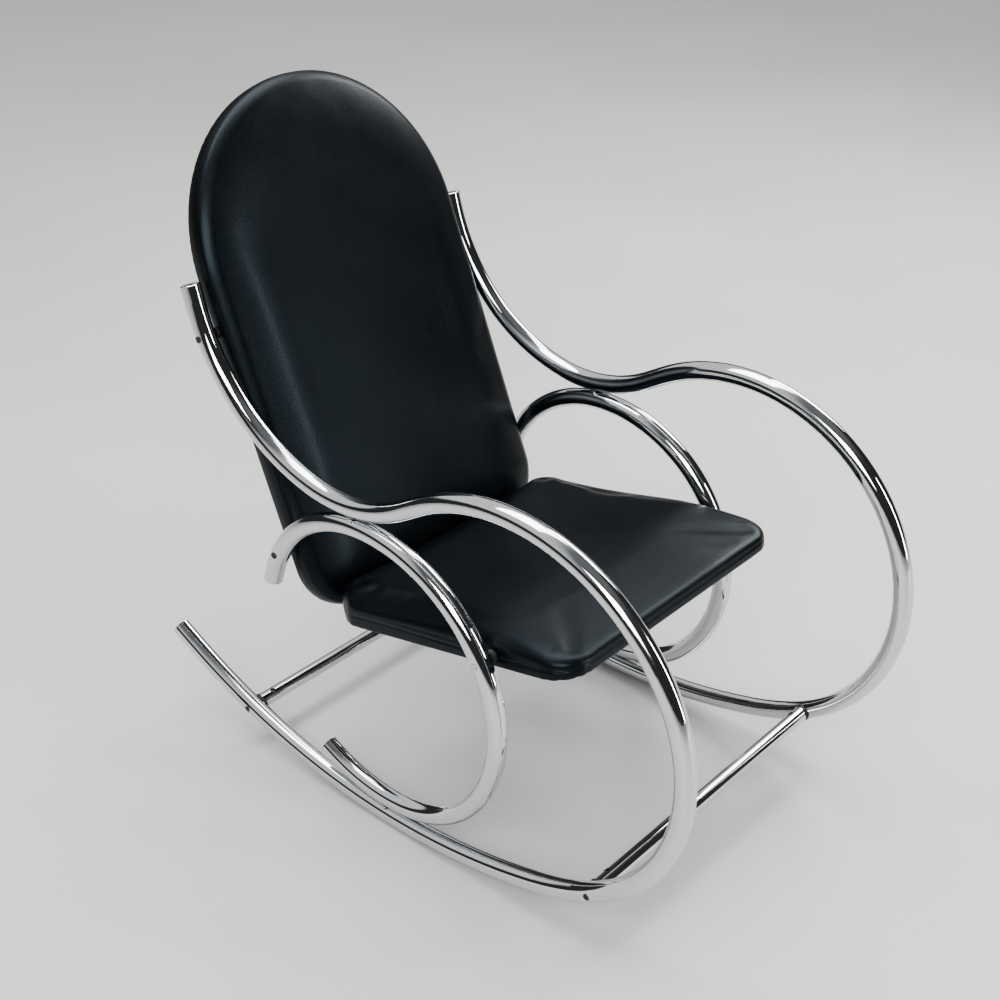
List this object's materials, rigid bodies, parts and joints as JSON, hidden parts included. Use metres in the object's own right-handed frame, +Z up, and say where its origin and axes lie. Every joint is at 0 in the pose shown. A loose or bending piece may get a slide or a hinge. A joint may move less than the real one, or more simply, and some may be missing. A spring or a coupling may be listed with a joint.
{
  "type": "rocking chair",
  "caption": "Rocking chair of bent chromed steel tube, with swept arms that run on into the runners and black padded vinyl back and seat.",
  "frame": {"origin": "on the floor, under the middle of the chair's overall width and depth", "axes": "+Z up, the sitter faces -Y, X across the chair; the chair is the same on both sides of the plane x = 0"},
  "size_m": [0.4946, 0.8705, 0.8618],
  "materials": {
    "chromed_tube": "polished, lightly pitted",
    "chromed_fittings": "polished",
    "blackened_steel": "semi-matte black",
    "bright_screws": "turned, dulled",
    "zinc_steel": "dull zinc",
    "black_vinyl": "satin, fine grain",
    "rear_panel_vinyl": "satin, fine grain",
    "plywood": "raw",
    "upholstery_foam": "matte",
    "dust_cloth": "matte weave",
    "black_rubber": "matte"
  },
  "bodies": {
    "root": {"left_arm_runner_tube": "chromed_tube", "right_arm_runner_tube": "chromed_tube", "left_inner_loop_tube": "chromed_tube", "right_inner_loop_tube": "chromed_tube", "tube_end_plugs": "chromed_fittings", "loop_joint_beads": "chromed_fittings", "front_stretcher": "chromed_tube", "rear_stretcher": "chromed_tube", "stretcher_washers": "black_rubber", "stretcher_bolts": "blackened_steel", "stretcher_barrel_nuts": "blackened_steel", "back_board": "plywood", "back_foam": "upholstery_foam", "back_cover": "black_vinyl", "back_rear_panel": "rear_panel_vinyl", "back_screws": "blackened_steel", "back_spacers": "blackened_steel", "back_inserts": "zinc_steel", "seat_board": "plywood", "seat_foam": "upholstery_foam", "seat_cover": "black_vinyl", "seat_dust_cloth": "dust_cloth", "seat_staples": "zinc_steel", "seat_screws": "bright_screws", "seat_bushes": "black_rubber", "seat_inserts": "zinc_steel", "joining_plates": "zinc_steel", "plate_screws": "zinc_steel"}
  },
  "joints": []
}
